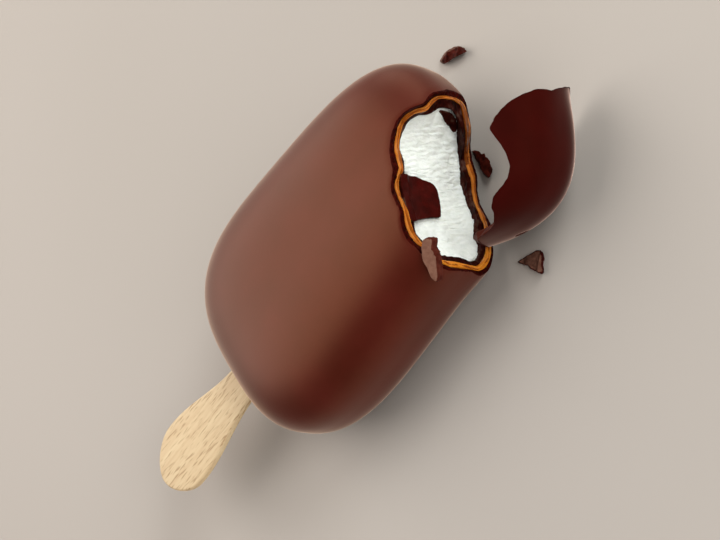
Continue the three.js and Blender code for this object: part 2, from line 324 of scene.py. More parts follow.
# Materials: clouds of colour between the stops, and a fine grain with a strength and a depth.
sockets = {
    "roughness": "Roughness", "ior": "IOR", "shineTint": "Specular Tint",
    "sheen": "Sheen Weight", "sheenRoughness": "Sheen Roughness", "sheenTint": "Sheen Tint",
    "coat": "Coat Weight", "coatRoughness": "Coat Roughness", "coatIor": "Coat IOR",
    "soft": "Subsurface Weight", "softRadius": "Subsurface Radius", "softScale": "Subsurface Scale",
}


def newMaterial(name, look):
    material = bpy.data.materials.new(name)
    material.use_nodes = True
    shader = material.node_tree.nodes["Principled BSDF"]
    for key, socket in sockets.items():
        if key in look:
            shader.inputs[socket].default_value = look[key]
    return material, shader


def noisePattern(material, stretch=(1, 1, 1), **settings):
    tree = material.node_tree
    place = tree.nodes.new("ShaderNodeTexCoord")
    mapping = tree.nodes.new("ShaderNodeMapping")
    mapping.inputs["Scale"].default_value = stretch
    pattern = tree.nodes.new("ShaderNodeTexNoise")
    for socket, value in settings.items():
        pattern.inputs[socket].default_value = value
    tree.links.new(place.outputs["Object"], mapping.inputs["Vector"])
    tree.links.new(mapping.outputs["Vector"], pattern.inputs["Vector"])
    return pattern.outputs["Fac"]


def colourRamp(material, source, stops):
    ramp = material.node_tree.nodes.new("ShaderNodeValToRGB")
    elements = ramp.color_ramp.elements
    while len(elements) < len(stops):
        elements.new(0.5)
    for element, (position, colour) in zip(elements, stops):
        element.position = position
        element.color = (*colour, 1)
    material.node_tree.links.new(source, ramp.inputs["Fac"])
    return ramp.outputs["Color"]


def addBump(material, shader, height, strength, distance):
    bump = material.node_tree.nodes.new("ShaderNodeBump")
    bump.inputs["Strength"].default_value = strength
    bump.inputs["Distance"].default_value = distance
    material.node_tree.links.new(height, bump.inputs["Height"])
    material.node_tree.links.new(bump.outputs["Normal"], shader.inputs["Normal"])


def linear(code):  # a hex colour as the renderer wants it
    parts = [int(code[i:i + 2], 16) / 255 for i in (1, 3, 5)]
    return tuple(p / 12.92 if p <= 0.04045 else ((p + 0.055) / 1.055) ** 2.4 for p in parts)


def clouds(material, look):
    stops = [(position, linear(look[colour])) for position, colour in look["stops"]]
    return colourRamp(material, noisePattern(material, **look["cloud"]), stops)


def cloudedMaterial(name, look):
    material, shader = newMaterial(name, look)
    material.node_tree.links.new(clouds(material, look), shader.inputs["Base Color"])
    if "grain" in look:
        addBump(material, shader, noisePattern(material, **look["grain"]), *look["bump"])
    return material


def woodMaterial(name, look):  # short dark flecks on pale bands, both along the grain
    material, shader = newMaterial(name, look)
    tree = material.node_tree
    base = clouds(material, look)
    flecks = noisePattern(material, **look["grain"])
    none, most = look["fleckAt"]
    amount = colourRamp(material, flecks, [(none, (0, 0, 0)), (most, (look["fleckAmount"],) * 3)])
    mix = tree.nodes.new("ShaderNodeMix")
    mix.data_type = "RGBA"
    tree.links.new(amount, mix.inputs["Factor"])
    tree.links.new(base, mix.inputs["A"])
    mix.inputs["B"].default_value = (*linear(look["fleck"]), 1)
    tree.links.new(mix.outputs["Result"], shader.inputs["Base Color"])
    addBump(material, shader, flecks, *look["bump"])
    return material


skinLook = {  # the smooth outside of the coating
    "shineTint": (1.0, 0.45, 0.22, 1), "stops": ((0.3, "dark"), (0.7, "light")),
    "cloud": {"Scale": 90, "Detail": 3, "Roughness": 0.5},
    "grain": {"Scale": 1400, "Detail": 2}, "bump": (0.05, 0.0002),
}
brokenLook = {  # its rough fracture; the chips' painted light and painted reflection use it too
    "ior": 1.15, "shineTint": (1.0, 0.4, 0.3, 1), "stops": ((0.35, "dark"), (0.7, "light")),
    "cloud": {"Scale": 900, "Detail": 4, "Roughness": 0.6},
    "grain": {"Scale": 2200, "Detail": 4}, "bump": (0.5, 0.0002),
}
innerLook = {  # the inner chocolate, with lighter crumb spots; on the wall these are painted glints
    "ior": 1.2, "shineTint": (1.0, 0.4, 0.3, 1),
    "stops": ((0.35, "dark"), (0.52, "light"), (0.63, "crumbAndGlint")),
    "cloud": {"Scale": 500, "Detail": 4, "Roughness": 0.6},
    "grain": {"Scale": 1500, "Detail": 3}, "bump": (0.25, 0.0002),
}
caramelLook = {
    "ior": 1.3, "coat": 0.4, "coatRoughness": 0.08, "coatIor": 1.25,
    "soft": 0.25, "softRadius": (0.0012, 0.0006, 0.0002), "softScale": 1,
    "roughness": 0.2, "stops": ((0.3, "dark"), (0.72, "light")),
    "cloud": {"Scale": 420, "Detail": 3, "Roughness": 0.5},
    "grain": {"Scale": 700, "Detail": 2}, "bump": (0.15, 0.0003),
}
iceLook = {
    "light": "#f4f6f0", "dark": "#e4e8e0", "roughness": 0.62,
    "soft": 0.3, "softRadius": (0.0008, 0.0008, 0.0007), "softScale": 1,
    "stops": ((0.3, "dark"), (0.7, "light")),
    "cloud": {"Scale": 600, "Detail": 4, "Roughness": 0.6},
    "grain": {"stretch": (1, 1, 0.35), "Scale": 1100, "Detail": 3, "Roughness": 0.55},
    "bump": (0.6, 0.0006),
}
woodLook = {
    "light": "#d2bb95", "dark": "#c6aa84", "fleck": "#98764f", "roughness": 0.6,
    "fleckAt": (0.56, 0.72), "fleckAmount": 0.75, "stops": ((0.3, "dark"), (0.7, "light")),
    "cloud": {"stretch": (0.06, 1, 1), "Scale": 900, "Detail": 3, "Roughness": 0.6},
    "grain": {"stretch": (0.13, 1, 1), "Scale": 2600, "Detail": 1, "Roughness": 0.4},
    "bump": (0.15, 0.0002),
}

milkChocolate = cloudedMaterial("milkChocolate", {
    **skinLook, "light": "#48140f", "dark": "#3e0f09", "roughness": 0.42, "ior": 1.62,
    "sheen": 0.65, "sheenRoughness": 0.3, "sheenTint": (1, 0.74, 0.56, 1)})
# painted shade: a darker copy of the milk chocolate coating, for the skin of the broken-off corner
shadedSkinChocolate = cloudedMaterial("shadedSkinChocolate", {
    **skinLook, "light": "#370806", "dark": "#2d0705", "roughness": 0.4, "ior": 1.15,
    "sheen": 1.0, "sheenRoughness": 0.27, "sheenTint": (1, 0.68, 0.56, 1)})
# the dark rough fracture; also painted shade in the band round the break, along the corner's broken edge
# and in its dent
fractureAndShadeChocolate = cloudedMaterial("fractureAndShadeChocolate", {
    **brokenLook, "light": "#400c07", "dark": "#1e0403", "roughness": 0.6})
cornerChocolate = cloudedMaterial("cornerChocolate", {
    **brokenLook, "light": "#5a2a20", "dark": "#40160f", "roughness": 0.55})
chipChocolate = cloudedMaterial("chipChocolate", {
    **brokenLook, "light": "#48160f", "dark": "#220805", "roughness": 0.5})
# painted light: a pale copy of the chocolate coating, coloured as if lit, for chip 4's skin
paintedLightChocolate = cloudedMaterial("paintedLightChocolate", {
    **brokenLook, "light": "#805c4c", "dark": "#6e4b3e", "roughness": 0.55})
# painted reflection: a grey-brown copy of the chocolate coating, for chip 3's skin and chip 1's side
paintedReflectionChocolate = cloudedMaterial("paintedReflectionChocolate", {
    **brokenLook, "light": "#6b4a3d", "dark": "#4a2e24", "roughness": 0.5})
darkChocolate = cloudedMaterial("darkChocolate", {
    **innerLook, "crumbAndGlint": "#400a07", "light": "#3a0906", "dark": "#2e0604", "roughness": 0.42})
# painted shade: a darker copy of the inner chocolate, for its wall and broken face, the tongue's sides
# and the loose flake; its grey crumb spots are painted glints
shadedWallChocolate = cloudedMaterial("shadedWallChocolate", {
    **innerLook, "crumbAndGlint": "#4c342b", "light": "#300b06", "dark": "#140302", "roughness": 0.55})
caramel = cloudedMaterial("caramel", {**caramelLook, "light": "#a85812", "dark": "#7c3a08"})
caramelShade = cloudedMaterial("caramelShade", {**caramelLook, "light": "#8c480e", "dark": "#5c2806"})
# painted highlight: a lighter copy of the caramel for its strands
caramelHighlight = cloudedMaterial("caramelHighlight", {**caramelLook, "light": "#cc7e33", "dark": "#ad5f1b"})
# painted highlight: a brighter, glossier copy of the caramel for the bottom of the break
caramelBottomHighlight = cloudedMaterial("caramelBottomHighlight", {
    **caramelLook, "light": "#e28c2a", "dark": "#c06c18", "roughness": 0.18})
iceCream = cloudedMaterial("iceCream", iceLook)
beech = woodMaterial("beech", woodLook)
print("materials made")


# Layers of the bar. Each runs from the break to the stick, back inside, and over its broken edge.
around = 480                 # points round each layer
lipReach = 0.02              # share of the way to the stick over which the lip is rounded
fineWaves = {"share": 0.4, "finer": 3}  # the smaller of the waves in a broken edge
slot = {"clearance": 0.08, "power": 8, "rounds": 8}


def slotLoop(angle, depth):  # outline of the stick where it goes into the bar
    turn = math.radians(angle)
    c, s = math.cos(turn), math.sin(turn)
    power = slot["power"]
    reach = (abs(c) ** power + abs(s) ** power) ** (-1 / power)
    y = (stick["neckHalfWidth"] + slot["clearance"]) * reach * c
    z = (stick["thickness"] / 2 + slot["clearance"]) * reach * s
    x = -bar["halfLength"]
    for _ in range(slot["rounds"]):
        x = x / formSize(Vector((x, y, z)), depth)
    return Vector((x, y, z))


def layer(piece):
    bm = bmesh.new()
    outerDepth, innerDepth = piece["outer"], piece["inner"]
    walls = {}

    def startAt(angle, depth):
        key = (angle, depth)
        if key not in walls:
            edge = piece["outerEdge"] if depth == outerDepth else piece["innerEdge"]
            spot = rimSpot(angle, depth)
            fine = roughness(spot, piece["raggedSize"] / fineWaves["finer"], piece["seed"] + 1)
            height = (edge(angle)
                      + piece["ragged"] * roughness(spot, piece["raggedSize"], piece["seed"])
                      + fineWaves["share"] * piece["ragged"] * fine)
            lip = piece["lip"] - piece["flare"] * edgeHeight(flare, angle) if depth == outerDepth else 0
            start = wallPoint(angle, height, thinned(depth, angle) + lip)[0]
            walls[key] = (start, slotLoop(angle, depth))
        return walls[key]

    def along(depth, share):  # a point on the way from the break to the stick
        def place(angle):
            start, end = startAt(angle, depth)
            if share >= 1:
                return end.copy()
            way = start.normalized().slerp(end.normalized(), share)
            lip = 0
            if depth == outerDepth:
                out = piece["flare"] * edgeHeight(flare, angle)
                lip = (piece["lip"] * max(0, 1 - share / lipReach) ** 2
                       - out * max(0, 1 - share / flareReach) ** 2)
            return surfacePoint(way, thinned(depth, angle, share) + lip)
        return place

    def face(share):  # a point across the broken edge
        def place(angle):
            outer = startAt(angle, outerDepth)[0]
            inner = startAt(angle, innerDepth)[0]
            point = outer.lerp(inner, share)
            return point + outwards * piece["relief"](angle, share, point)
        return place

    outerRows, faceRows, innerRows = piece["rows"]
    first = face(0)
    edges = circleLoop(bm, around)
    angleOf = angleLayer(bm)
    for v in bm.verts:
        v.co = first(v[angleOf])
    for row in range(1, outerRows + 1):
        edges = drawOut(bm, edges, along(outerDepth, (row / outerRows) ** piece["crowding"]))
        # coating rows this near the break get the dark fracture material: a band of painted shade round
        # the break, with no sheen
        if row <= piece["rimRows"]:
            for f in facesAt(edges):
                angle = f.verts[0][angleOf]
                away = (f.calc_center_median() - startAt(angle, outerDepth)[0]).length
                f.material_index = 1 if away < edgeHeight(rimShadeWidth, angle) else 0
    for row in range(innerRows, 0, -1):
        edges = drawOut(bm, edges, along(innerDepth, (row / innerRows) ** piece["crowding"]), 1)
    for row in range(faceRows, -1, -1):
        edges = drawOut(bm, edges, face(row / faceRows), 1)
        if piece["bands"]:
            for f in facesAt(edges):
                f.material_index = piece["bands"](f.verts[0].co, (row + 0.5) / faceRows)
    return bm


fracture = {"lipWidth": 0.12, "fineShare": 0.5, "finer": 2.5}  # its lip as a share of its width


def brokenRelief(amount, size, seed, lip):  # rough fracture with a slightly rounded lip
    def relief(angle, share, point):
        inner = min(1, min(share, 1 - share) / fracture["lipWidth"])
        rough = (roughness(point, size, seed)
                 + fracture["fineShare"] * roughness(point, size / fracture["finer"], seed + 1))
        return amount * rough * inner - lip * (1 - inner) ** 2
    return relief


# Two soft strands run round the caramel's face. Widths are shares of it, sizes millimetres.
strands = {
    "furrowSwing": 0.3, "furrowSize": 3.2, "lipWidth": 0.14, "base": 0.16, "height": 0.2, "width": 0.3,
    "bump": 0.1, "bumpSize": 1.1, "bumpShift": (4, 4, 4),
    "waver": 0.3, "waverSize": 2.1, "waverShift": (9, 1, 5),
    # where the caramel's face gets painted shade and painted highlights, by angle round the break
    "shaded": (302, 350), "shadedStrand": 0.28,      # by angle round the break
    "pale": (235, 302), "paleStrand": 0.62,
    "bottomHighlight": (165, 225), "bottomHighlightFurrow": 0.05, "furrow": 0.22,
}


def furrowAt(point):
    return 0.5 + strands["furrowSwing"] * noise.noise(point / strands["furrowSize"])


def caramelRelief(angle, share, point):
    edge = min(1, min(share, 1 - share) / strands["lipWidth"])
    strand = strands["height"] * min(1, abs(share - furrowAt(point)) / strands["width"])
    bump = noise.noise(point / strands["bumpSize"] + Vector(strands["bumpShift"]))
    return edge * (strands["base"] + strand + strands["bump"] * bump)


def caramelBands(point, share):  # 0 plain, 1 painted shade, 2 painted highlights on the strands, 3 painted bright highlight at the bottom
    turn = math.degrees(math.atan2(point.z, (point - breakOrigin).dot(sideways))) % 360
    waver = strands["waver"] * noise.noise(point / strands["waverSize"] + Vector(strands["waverShift"]))
    if strands["shaded"][0] < turn < strands["shaded"][1]:
        return 2 if share < strands["shadedStrand"] + waver else 1
    if strands["pale"][0] < turn < strands["pale"][1]:
        return 2 if share > strands["paleStrand"] + waver else 0
    if strands["bottomHighlight"][0] < turn < strands["bottomHighlight"][1]:
        return 0 if abs(share - furrowAt(point)) < strands["bottomHighlightFurrow"] + waver else 3
    return 0 if abs(share - furrowAt(point)) < strands["furrow"] + waver else 2


def edgeOf(pairs, drop=0):
    return lambda angle: edgeHeight(pairs, angle) + drop


# width of the band of painted shade on the coating round the break, by angle
rimShadeWidth = [
    (0, 0.6), (90, 0.5), (190, 0.4), (207, 0.5), (220, 1.3), (240, 1.8), (325, 1.8), (345, 0.8),
]

# how much of the inner chocolate's wall stands over the ice cream, by angle
innerWall = [
    (0, 0.2), (8, 0), (100, 0), (180, 0), (205, 0.1), (225, 0.7), (240, 1), (290, 1), (335, 1),
    (350, 0.6),
]
wallEdge = {"underCaramel": 0.2, "overCream": 0.2, "slope": 0.3}


def innerOutside(angle):
    return edgeHeight(caramelEdge, angle) - wallEdge["underCaramel"]


def innerInside(angle):
    low = edgeHeight(creamEdge, angle) + wallEdge["overCream"]
    high = innerOutside(angle) - wallEdge["slope"]
    return low + max(0, edgeHeight(innerWall, angle)) * max(0, high - low)


plainLayer = {"lip": 0, "bands": None, "rimRows": 0, "flare": 0, "crowding": 2.2}
shell = {
    **plainLayer, "outer": 0, "inner": borders["coating"],
    "outerEdge": edgeOf(shellEdge), "innerEdge": edgeOf(caramelEdge, -0.05),
    "ragged": 0.16, "raggedSize": 1.6, "seed": 1, "lip": 0.2,
    "relief": brokenRelief(amount=0.3, size=0.8, seed=5, lip=0.16),
    "rows": (100, 12, 20), "crowding": 1.7, "rimRows": 14, "flare": 1,
}
caramelLayer = {
    **plainLayer, "outer": borders["coating"] - 0.03, "inner": borders["caramel"] + 0.02,
    "outerEdge": edgeOf(caramelEdge, -0.1), "innerEdge": edgeOf(caramelEdge, -0.11),
    "ragged": 0.12, "raggedSize": 2.4, "seed": 11,
    "relief": caramelRelief, "rows": (16, 12, 16), "bands": caramelBands,
}
innerLayer = {
    **plainLayer, "outer": borders["caramel"], "inner": borders["inner"],
    "outerEdge": innerOutside, "innerEdge": innerInside,
    "ragged": 0.16, "raggedSize": 1.2, "seed": 21,
    "relief": brokenRelief(amount=0.12, size=0.7, seed=9, lip=0.08), "rows": (16, 8, 26),
}

finishPiece(layer(shell), "chocolateShell", [milkChocolate, fractureAndShadeChocolate],
            "milk_chocolate", "chocolate_shell")
finishPiece(layer(caramelLayer), "caramelLayer", [caramel, caramelShade, caramelHighlight, caramelBottomHighlight],
            "caramel", "caramel_layer")


# ice cream: its face is like a skin stretched over its rim, a little hollow and rippled
cream = {
    "depth": borders["inner"] - 0.02, "rings": 120, "rows": 24, "crowding": 1.6,
    "rimStep": 3, "rimSeed": 51, "ragged": 0.25, "raggedSize": 0.5, "nearRim": 0.97,
    "dish": 2.0, "dishPower": 4, "hollow": 0.7, "hollowAt": (7.5, 8), "hollowReach": 5.5,
    "warp": 0.5, "slant": 0.18, "ridge": 0.24, "grain": 0.05,
    "crease": 0.16, "creaseWidth": 0.22, "creased": 0.6, "creaseChange": 1.6,
    "slotStops": (-20, 0), "stickReach": 0.3,
}
# width, length and seed of each wave in its face, and of the swell in the flakes that lie on it
waves = {
    "warp": (3, 4, 1.7), "ridge": (0.65, 2.4, 3.3), "fold": (0.75, 2.6, 6.4),
    "creased": (1.5, 1.8, 2.2), "grain": (0.35, 0.8, 8.1), "flake": (3, 3, 2),
}
creamRim = []                # angle, radius and height
for angle in range(0, 360, cream["rimStep"]):
    rimHeight = edgeHeight(creamEdge, angle)
    rimRadius = wallPoint(angle, rimHeight, thinned(cream["depth"], angle))[1]
    creamRim.append((math.radians(angle), rimRadius, rimHeight))


def creamHeight(side, up):
    radius, turn = math.hypot(side, up), math.atan2(up, side)
    place = turn / math.radians(cream["rimStep"]) % len(creamRim)
    before = int(place)
    start, end = creamRim[before][1], creamRim[(before + 1) % len(creamRim)][1]
    share = min(radius / (start + (end - start) * (place - before)), cream["nearRim"])
    total = weights = 0
    for rimTurn, _, height in creamRim:
        weight = (1 - share * share) / (1 + share * share - 2 * share * math.cos(rimTurn - turn))
        total += weight * height
        weights += weight
    near = math.dist((side, up), cream["hollowAt"]) / cream["hollowReach"]
    inside = 1 - share ** cream["dishPower"]
    return total / weights - (cream["dish"] * inside + cream["hollow"] * math.exp(-near * near) * inside)


def wave(kind, across, up):
    width, length, seed = waves[kind]
    return noise.noise(Vector((across / width, up / length, seed)))


def creamRelief(side, up):  # low ripples across the bar, with short thin creases
    across = side + cream["warp"] * wave("warp", side, up) + cream["slant"] * up
    creased = min(1, max(0, cream["creased"] + cream["creaseChange"] * wave("creased", across, up)))
    crease = max(0, 1 - abs(wave("fold", across, up)) / cream["creaseWidth"]) * creased
    return (cream["ridge"] * wave("ridge", across, up) - cream["crease"] * crease
            + cream["grain"] * wave("grain", across, up))


def iceCreamMesh():
    bm = bmesh.new()
    reach = {}

    def rim(angle):
        angle = round(angle, 3)
        if angle not in reach:
            rough = roughness(rimSpot(angle), cream["raggedSize"], cream["rimSeed"])
            height = edgeHeight(creamEdge, angle) + cream["ragged"] * rough
            reach[angle] = wallPoint(angle, height, thinned(cream["depth"], angle))
        return reach[angle]

    def face(angle, share):
        if share >= 1:
            return rim(angle)[0].copy()
        radius = rim(angle)[1] * share
        turn = math.radians(angle)
        side, up = radius * math.cos(turn), radius * math.sin(turn)
        return discPoint(side, up, creamHeight(side, up) + creamRelief(side, up))

    def body(share):
        def place(angle):
            start, end = rim(angle)[0], slotLoop(angle, cream["depth"])
            if share >= 1:
                return end
            way = start.normalized().slerp(end.normalized(), share)
            return surfacePoint(way, thinned(cream["depth"], angle, share))
        return place

    def stickWall(x):
        def place(angle):
            point = slotLoop(angle, cream["depth"])
            point.x = x
            return point
        return place

    edges = patch(bm, cream["rings"], face)
    for row in range(1, cream["rows"] + 1):
        edges = drawOut(bm, edges, body((row / cream["rows"]) ** cream["crowding"]))
    stickEnd = stick["length"] - stick["visible"] - bar["halfLength"] + cream["stickReach"]
    for x in (*cream["slotStops"], stickEnd):
        edges = drawOut(bm, edges, stickWall(x))
    bmesh.ops.contextual_create(bm, geom=edges)
    return bm


# Plates: flakes and chips with a front, a back and a rough rim. A side is a level and an inset.
plateRim = {
    "softened": 1.5,         # degrees over which the outline is evened
    "size": 0.8, "fineSize": 0.35, "fineShare": 0.7, "levelShift": 3, "least": 0.05,
}
outlineSlack = 1e-6


def resample(outline, centre, angle):  # distance from the centre to the outline at an angle
    turn = math.radians(angle)
    ray = Vector((math.cos(turn), math.sin(turn)))
    best = 0
    for i, start in enumerate(outline):
        a = Vector(start) - centre
        b = Vector(outline[(i + 1) % len(outline)]) - centre
        edge = b - a
        cross = ray.x * edge.y - ray.y * edge.x
        if abs(cross) < tiny:
            continue
        distance = (a.x * edge.y - a.y * edge.x) / cross
        share = (a.x * ray.y - a.y * ray.x) / cross
        if -outlineSlack <= share <= 1 + outlineSlack and distance > best:
            best = distance
    return best


def plateMesh(piece, surface):
    bm = bmesh.new()
    centre = Vector(piece["centre"])
    reach = {}

    def rim(angle):
        angle = round(angle, 3)
        if angle not in reach:
            steps = (-plateRim["softened"], 0, plateRim["softened"])
            spread = [resample(piece["outline"], centre, angle + step) for step in steps]
            reach[angle] = sum(spread) / 3
        return reach[angle]

    def place(level, inset):
        def at(angle, share=1):
            turn = math.radians(angle)
            ray = Vector((math.cos(turn), math.sin(turn)))
            radius = rim(angle)
            edge = centre + ray * radius
            spot = Vector((edge.x, edge.y, level * plateRim["levelShift"]))
            fine = roughness(spot, plateRim["fineSize"], piece["seed"] + 1)
            ragged = piece["ragged"] * (roughness(spot, plateRim["size"], piece["seed"])
                                        + plateRim["fineShare"] * fine)
            point = centre + ray * (max(plateRim["least"], radius + ragged - inset) * share)
            return surface(point.x, point.y, level)
        return at

    edges = patch(bm, piece["rings"], place(1, piece["bevel"]), 0)
    for level, inset in piece["sides"]:
        edges = drawOut(bm, edges, place(level, inset), 1)
    patch(bm, piece["rings"], place(0, piece["bevel"]), 1)
    return bm


def onCream(piece):  # a plate that lies on the ice cream
    def surface(side, up, level):
        height = creamHeight(side, up) + piece["lift"] + piece["thickness"] * level
        return discPoint(side, up, height + piece["swell"] * wave("flake", side, up))
    return plateMesh(piece, surface)


tongue = {
    "outline": [
        (0.8, 11.6), (1.2, 7.6), (1.5, 5.5), (0.9, 3.4), (0.6, 1.5), (-0.1, 0.3), (-1.2, -0.3),
        (-3.1, -0.7), (-5.0, -0.7), (-7.6, -0.2), (-7.9, 0.9), (-8.3, 3.2), (-9.5, 7.5),
        (-10.5, 9.8), (-10.2, 11.1),
    ],
    "centre": (-4.2, 5.0), "rings": 36, "bevel": 0.15, "ragged": 0.12, "seed": 3,
    "sides": [(0.8, 0.03), (0.5, 0), (0.2, 0.03), (0, 0.15)],
    "thickness": 0.9, "lift": 0.15, "swell": 0.1,
}
looseFlake = {
    "outline": [
        (16.5, 2.1), (16.3, 0.3), (16.2, -2.3), (15.5, -4.7), (14.5, -5.6), (13.2, -5.6),
        (13.0, -5.0), (14.0, -3.5), (14.6, -1.3), (15.7, 0.6),
    ],
    "centre": (15.2, -2.7), "rings": 14, "bevel": 0.1, "ragged": 0.08, "seed": 8,
    "sides": [(0.8, 0.03), (0.5, 0), (0.2, 0.03), (0, 0.1)],
    "thickness": 0.4, "lift": 0.1, "swell": 0.1,
}

# the tongue grows out of the inner chocolate, so the two are one piece
innerMesh = layer(innerLayer)
tongueMesh = bpy.data.meshes.new("tongue")
made = onCream(tongue)
bmesh.ops.remove_doubles(made, verts=made.verts[:], dist=mergeDistance)
made.to_mesh(tongueMesh)
made.free()
innerMesh.from_mesh(tongueMesh)
bpy.data.meshes.remove(tongueMesh)
finishPiece(innerMesh, "innerChocolate", [darkChocolate, shadedWallChocolate],
            "dark_chocolate", "inner_chocolate")
finishPiece(iceCreamMesh(), "iceCream", [iceCream], "ice_cream", "ice_cream")
finishPiece(onCream(looseFlake), "flakeOnIceCream", [shadedWallChocolate, shadedWallChocolate],
            "dark_chocolate", "flake_on_ice_cream")

# the corner that broke off, turned outwards beside the bar
corner = {
    "turn": -42.8, "pivot": (32, -12), "shift": (10.5, -7.6), "rings": 90, "thickness": 1.8,
    "middleHeight": 6, "ragged": 0.1, "raggedSize": 1.6, "seed": 31, "faceRows": 10,
    # how far the inside of the broken edge runs on past the outside
    "overhang": [
        (0, 0), (150, 0), (160, 0), (165, 0.1), (168, 0.5), (170, -0.2), (172, -1.5), (175, -2.0),
        (180, -2.7), (186, -3.1), (193, -2.9), (200, -1.6), (208, -0.4), (216, 0), (300, 0),
    ],
    "swells": [
        {"at": (50.5, -25.2, -8.6), "reach": 12, "amount": 1.4},
        {"at": (62.8, -12.8, -8.2), "reach": 6, "amount": -1.0},
    ],
    "swellWay": (0.78, -0.62, 0),
    "nick": {
        "at": (33.7, -28.5, -6.6), "along": (0.88, 0, -0.47), "length": 1.8, "width": 1.0,
        "depth": 0.7, "steepness": 3,
    },
}


def cornerMesh():
    bm = bmesh.new()
    relief = brokenRelief(amount=0.25, size=0.9, seed=35, lip=0.2)
    middle = (breakOrigin + outwards * corner["middleHeight"]).normalized()
    starts = {}

    def startAt(angle, depth):
        angle = round(angle, 3)
        if (angle, depth) not in starts:
            rough = roughness(rimSpot(angle), corner["raggedSize"], corner["seed"])
            height = edgeHeight(cornerEdge, angle) + corner["ragged"] * rough
            if depth > 0:
                height += edgeHeight(corner["overhang"], angle)
            starts[angle, depth] = wallPoint(angle, height, depth)[0]
        return starts[angle, depth]

    def skin(depth):
        def place(angle, share):
            if share >= 1:
                return face(0 if depth == 0 else 1)(angle)
            return surfacePoint(middle.slerp(startAt(angle, depth).normalized(), share), depth)
        return place

    def face(share):
        def place(angle):
            point = startAt(angle, 0).lerp(startAt(angle, corner["thickness"]), share)
            return point - outwards * relief(angle, share, point)
        return place

    edges = patch(bm, corner["rings"], skin(0), 0)
    # the skin's outermost ring gets the dark fracture material: a line of painted shade along the broken
    # edge
    outermost = {f for e in edges for v in e.verts for f in v.link_faces}
    for f in outermost:
        f.material_index = 2
    for row in range(1, corner["faceRows"] + 1):
        edges = drawOut(bm, edges, face(row / corner["faceRows"]), 1)
    patch(bm, corner["rings"], skin(corner["thickness"]), 1)
    pivot = Vector((*corner["pivot"], 0))
    move = (Matrix.Translation(pivot + Vector((*corner["shift"], 0)))
            @ Matrix.Rotation(math.radians(corner["turn"]), 4, "Z") @ Matrix.Translation(-pivot))
    bmesh.ops.transform(bm, matrix=move, verts=bm.verts[:])
    drop = (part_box("shell_corner")[0].z - barCentre.z) / mm - min(v.co.z for v in bm.verts)
    bmesh.ops.translate(bm, vec=(0, 0, drop), verts=bm.verts[:])
    swellCorner(bm)
    nickCorner(bm, corner["nick"])
    return bm


def swellCorner(bm):
    for v in bm.verts:
        amount = 0
        for swell in corner["swells"]:
            near = (v.co - Vector(swell["at"])).length / swell["reach"]
            amount += swell["amount"] * math.exp(-near * near)
        v.co += Vector(corner["swellWay"]) * amount


def nickCorner(bm, nick):  # a small dent in the skin
    bmesh.ops.recalc_face_normals(bm, faces=bm.faces[:])
    along = Vector(nick["along"]).normalized()
    dented = {}
    for v in bm.verts:
        offset = v.co - Vector(nick["at"])
        far = offset.dot(along)
        wide = (offset - along * far).length
        depth = 1 - (far / nick["length"]) ** 2 - (wide / nick["width"]) ** 2
        if depth > 0:
            dented[v] = v.co - v.normal * nick["depth"] * min(1, nick["steepness"] * depth)
    for v, place in dented.items():
        v.co = place
    # the dent's faces get the dark fracture material: painted shade in the dent
    for f in bm.faces:
        if all(v in dented for v in f.verts):
            f.material_index = 2


# the corner's skin is painted shade, a darker copy of the coating
finishPiece(cornerMesh(), "shellCorner", [shadedSkinChocolate, cornerChocolate, fractureAndShadeChocolate],
            "milk_chocolate", "shell_corner")

